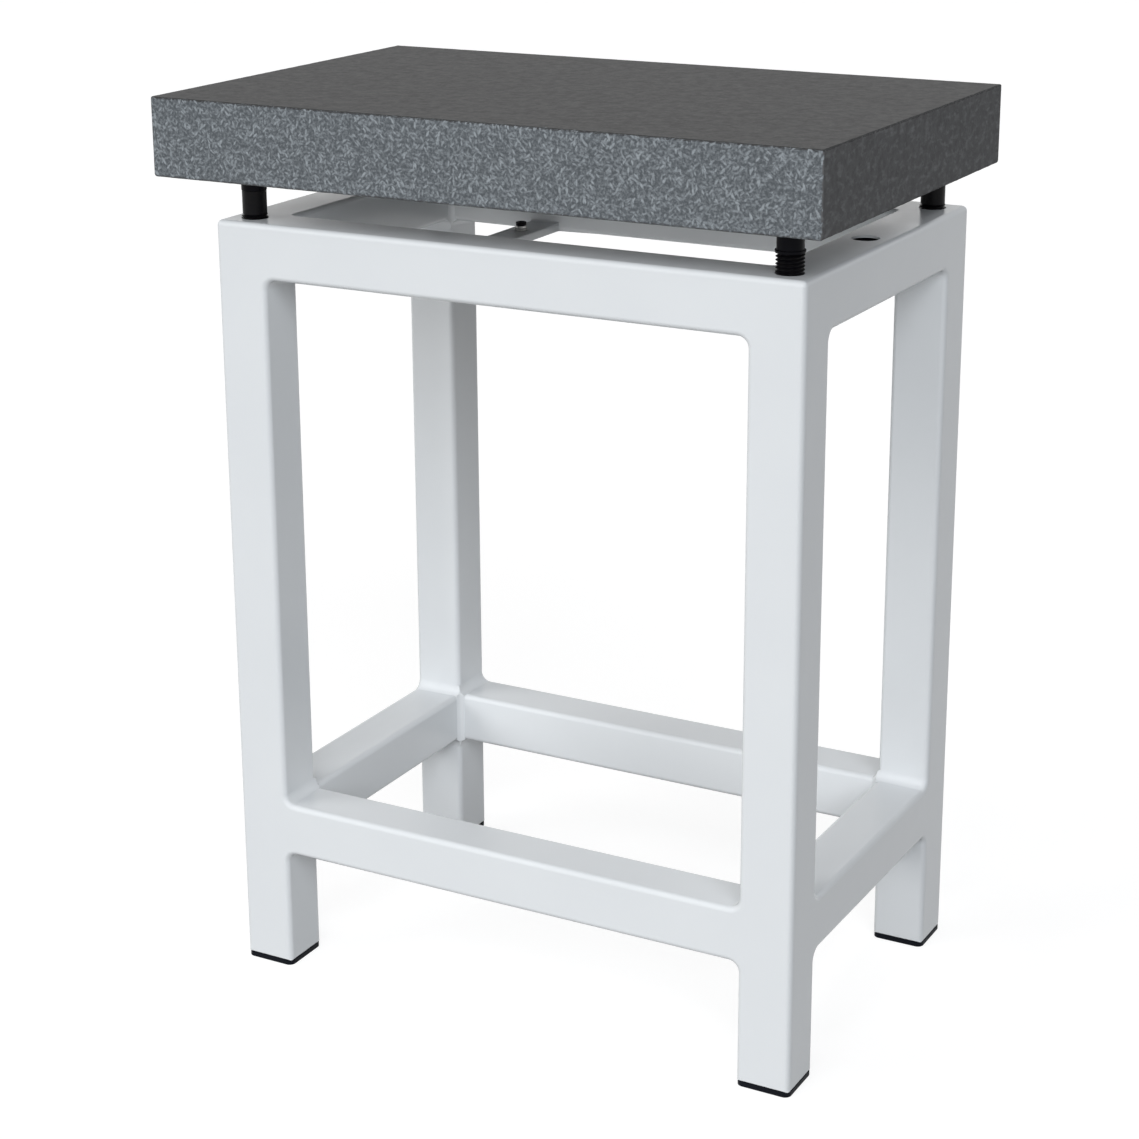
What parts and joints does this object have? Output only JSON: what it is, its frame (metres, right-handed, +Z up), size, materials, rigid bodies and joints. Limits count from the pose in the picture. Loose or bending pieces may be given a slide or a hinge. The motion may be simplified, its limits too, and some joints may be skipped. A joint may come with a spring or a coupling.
{
  "type": "granite surface plate with stand",
  "caption": "Granite surface plate lying on levelling screws in a welded stand of white square tube, with a cross bar and plastic foot caps.",
  "frame": {"origin": "on the floor, under the middle of the granite plate", "axes": "X along the plate's long side, Y from its front to its back, Z up"},
  "size_m": [0.63, 0.4, 0.82],
  "materials": {
    "granite": "lapped granite, fine grained, not polished",
    "white_paint": "semi-gloss off-white powder coat on steel tube",
    "foot_plastic": "moulded black polyethylene",
    "black_plastic": "smooth black polyamide",
    "black_oxide": "black oxide on turned steel",
    "zinc": "dull bright zinc on steel"
  },
  "bodies": {
    "stand": {"leg_front_left": "white_paint", "leg_front_right": "white_paint", "leg_back_left": "white_paint", "leg_back_right": "white_paint", "top_rail_front": "white_paint", "top_rail_back": "white_paint", "top_rail_left": "white_paint", "top_rail_right": "white_paint", "stretcher_front": "white_paint", "stretcher_back": "white_paint", "stretcher_left": "white_paint", "stretcher_right": "white_paint", "cross_bar": "white_paint", "bar_screw": "black_oxide", "bar_washer": "zinc", "bar_nut": "zinc", "foot_cap_front_left": "foot_plastic", "foot_cap_front_right": "foot_plastic", "foot_cap_back_left": "foot_plastic", "foot_cap_back_right": "foot_plastic", "bush_front_left": "zinc", "bush_front_right": "zinc", "bush_back_left": "zinc", "bush_back_right": "zinc", "bush_spare": "zinc"},
    "plate": {"granite_plate": "granite"},
    "cap_front_left": {"bearing_cap_front_left": "black_plastic"},
    "screw_front_left": {"levelling_screw_front_left": "black_oxide"},
    "cap_front_right": {"bearing_cap_front_right": "black_plastic"},
    "screw_front_right": {"levelling_screw_front_right": "black_oxide"},
    "cap_back_left": {"bearing_cap_back_left": "black_plastic"},
    "screw_back_left": {"levelling_screw_back_left": "black_oxide"},
    "cap_back_right": {"bearing_cap_back_right": "black_plastic"},
    "screw_back_right": {"levelling_screw_back_right": "black_oxide"}
  },
  "joints": [
    {"name": "plate_lift", "type": "slide", "parent": "stand", "child": "plate", "axis": [0, 0, 1], "range_m": [0, 0.05]},
    {"name": "cap_travel_front_left", "type": "slide", "parent": "stand", "child": "cap_front_left", "axis": [0, 0, 1], "range_m": [-0.012, 0]},
    {"name": "screw_turn_front_left", "type": "hinge", "parent": "cap_front_left", "child": "screw_front_left", "pos_m": [-0.244, -0.151, 0.712], "axis": [0, 0, 1], "range_deg": [-1440, 0]},
    {"name": "cap_travel_front_right", "type": "slide", "parent": "stand", "child": "cap_front_right", "axis": [0, 0, 1], "range_m": [-0.012, 0]},
    {"name": "screw_turn_front_right", "type": "hinge", "parent": "cap_front_right", "child": "screw_front_right", "pos_m": [0.268, -0.151, 0.712], "axis": [0, 0, 1], "range_deg": [-1440, 0]},
    {"name": "cap_travel_back_left", "type": "slide", "parent": "stand", "child": "cap_back_left", "axis": [0, 0, 1], "range_m": [-0.012, 0]},
    {"name": "screw_turn_back_left", "type": "hinge", "parent": "cap_back_left", "child": "screw_back_left", "pos_m": [-0.244, 0.163, 0.712], "axis": [0, 0, 1], "range_deg": [-1440, 0]},
    {"name": "cap_travel_back_right", "type": "slide", "parent": "stand", "child": "cap_back_right", "axis": [0, 0, 1], "range_m": [-0.012, 0]},
    {"name": "screw_turn_back_right", "type": "hinge", "parent": "cap_back_right", "child": "screw_back_right", "pos_m": [0.268, 0.163, 0.712], "axis": [0, 0, 1], "range_deg": [-1440, 0]}
  ],
  "couplings": [
    {"joint": "cap_travel_front_left", "follows": "screw_turn_front_left", "m_per_rad": 0.00047746},
    {"joint": "cap_travel_front_right", "follows": "screw_turn_front_right", "m_per_rad": 0.00047746},
    {"joint": "cap_travel_back_left", "follows": "screw_turn_back_left", "m_per_rad": 0.00047746},
    {"joint": "cap_travel_back_right", "follows": "screw_turn_back_right", "m_per_rad": 0.00047746}
  ]
}
